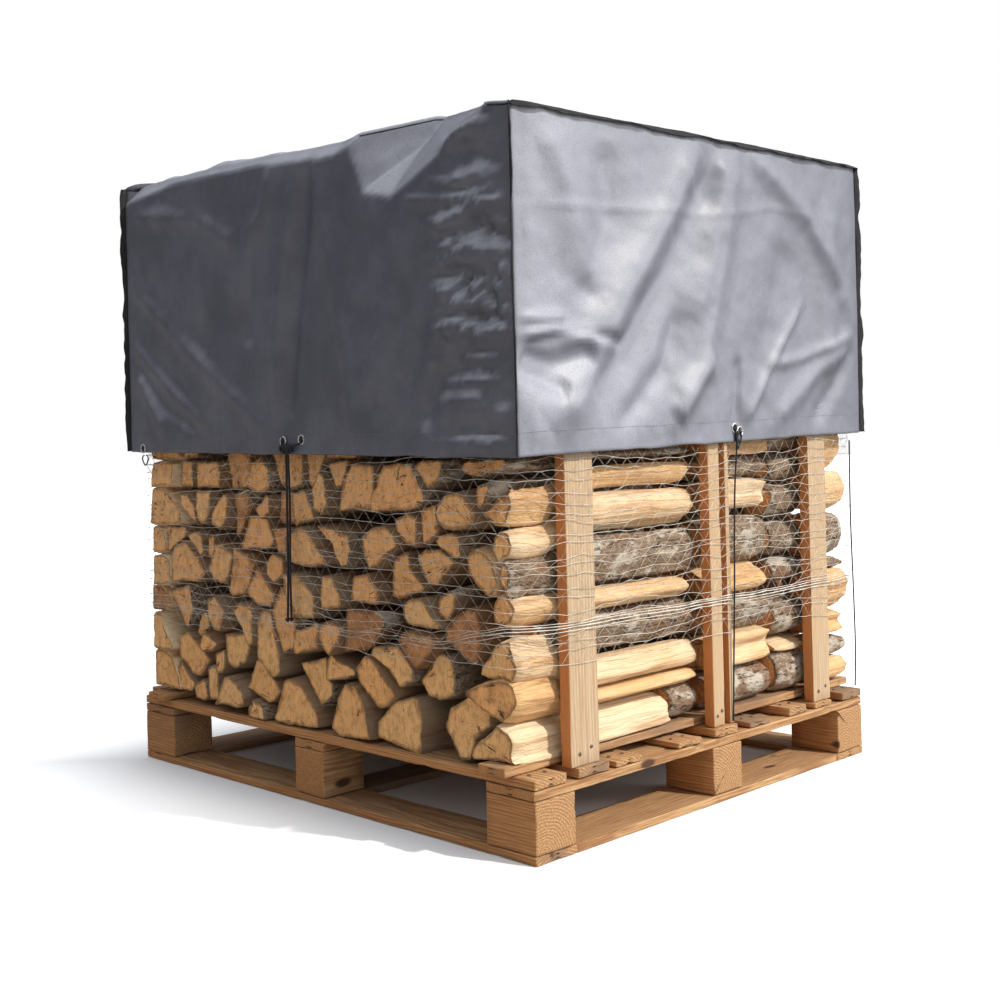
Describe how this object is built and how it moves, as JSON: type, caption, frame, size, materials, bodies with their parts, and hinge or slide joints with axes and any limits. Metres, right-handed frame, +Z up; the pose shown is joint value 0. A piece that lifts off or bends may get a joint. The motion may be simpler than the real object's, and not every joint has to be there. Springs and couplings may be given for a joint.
{
  "type": "pallet of firewood",
  "caption": "Split firewood logs stacked in tiers on a wooden block pallet between upright boards, wrapped in net and covered by a tied grey tarpaulin.",
  "frame": {"origin": "on the floor under the middle of the pallet", "axes": "+Z up, +X to the right when facing the log ends, -Y towards the log ends that face the front"},
  "size_m": [1.2076, 1.0494, 1.2636],
  "materials": {
    "pallet_wood": "rough sawn, weathered on top",
    "post_wood": "sawn",
    "split_log": "split and sawn, with bark",
    "net": "knitted strands",
    "cover": "coated, slightly glossy",
    "cord": "braided",
    "toggle": "moulded"
  },
  "bodies": {
    "root": {"base_board_front": "pallet_wood", "base_board_back": "pallet_wood", "base_board_left": "pallet_wood", "base_board_middle": "pallet_wood", "base_board_right": "pallet_wood", "block_front_left": "pallet_wood", "block_front_middle": "pallet_wood", "block_front_right": "pallet_wood", "block_centre_left": "pallet_wood", "block_centre_middle": "pallet_wood", "block_centre_right": "pallet_wood", "block_back_left": "pallet_wood", "block_back_middle": "pallet_wood", "block_back_right": "pallet_wood", "stringer_left": "pallet_wood", "stringer_middle": "pallet_wood", "stringer_right": "pallet_wood", "deck_board_1": "pallet_wood", "deck_board_2": "pallet_wood", "deck_board_3": "pallet_wood", "deck_board_4": "pallet_wood", "deck_board_5": "pallet_wood", "deck_board_6": "pallet_wood", "deck_board_7": "pallet_wood", "deck_board_8": "pallet_wood", "deck_board_9": "pallet_wood", "rail_left": "pallet_wood", "rail_right": "pallet_wood", "post_left_1": "post_wood", "post_left_2": "post_wood", "post_left_3": "post_wood", "post_right_1": "post_wood", "post_right_2": "post_wood", "post_right_3": "post_wood", "lath": "post_wood", "cleat": "pallet_wood", "front_logs_course_1": "split_log", "front_logs_course_2": "split_log", "front_logs_course_3": "split_log", "front_logs_course_4": "split_log", "front_logs_course_5": "split_log", "front_logs_course_6": "split_log", "back_logs_course_1": "split_log", "back_logs_course_2": "split_log", "back_logs_course_3": "split_log", "back_logs_course_4": "split_log", "back_logs_course_5": "split_log", "back_logs_course_6": "split_log", "back_right_logs_1": "split_log", "back_right_logs_2": "split_log", "back_right_logs_3": "split_log", "net": "net", "cover": "cover", "front_knot": "cord", "front_tail_left": "cord", "front_tail_right": "cord", "right_toggle": "toggle", "right_tie": "cord", "rear_tie": "cord", "front_loop": "cord"}
  },
  "joints": []
}
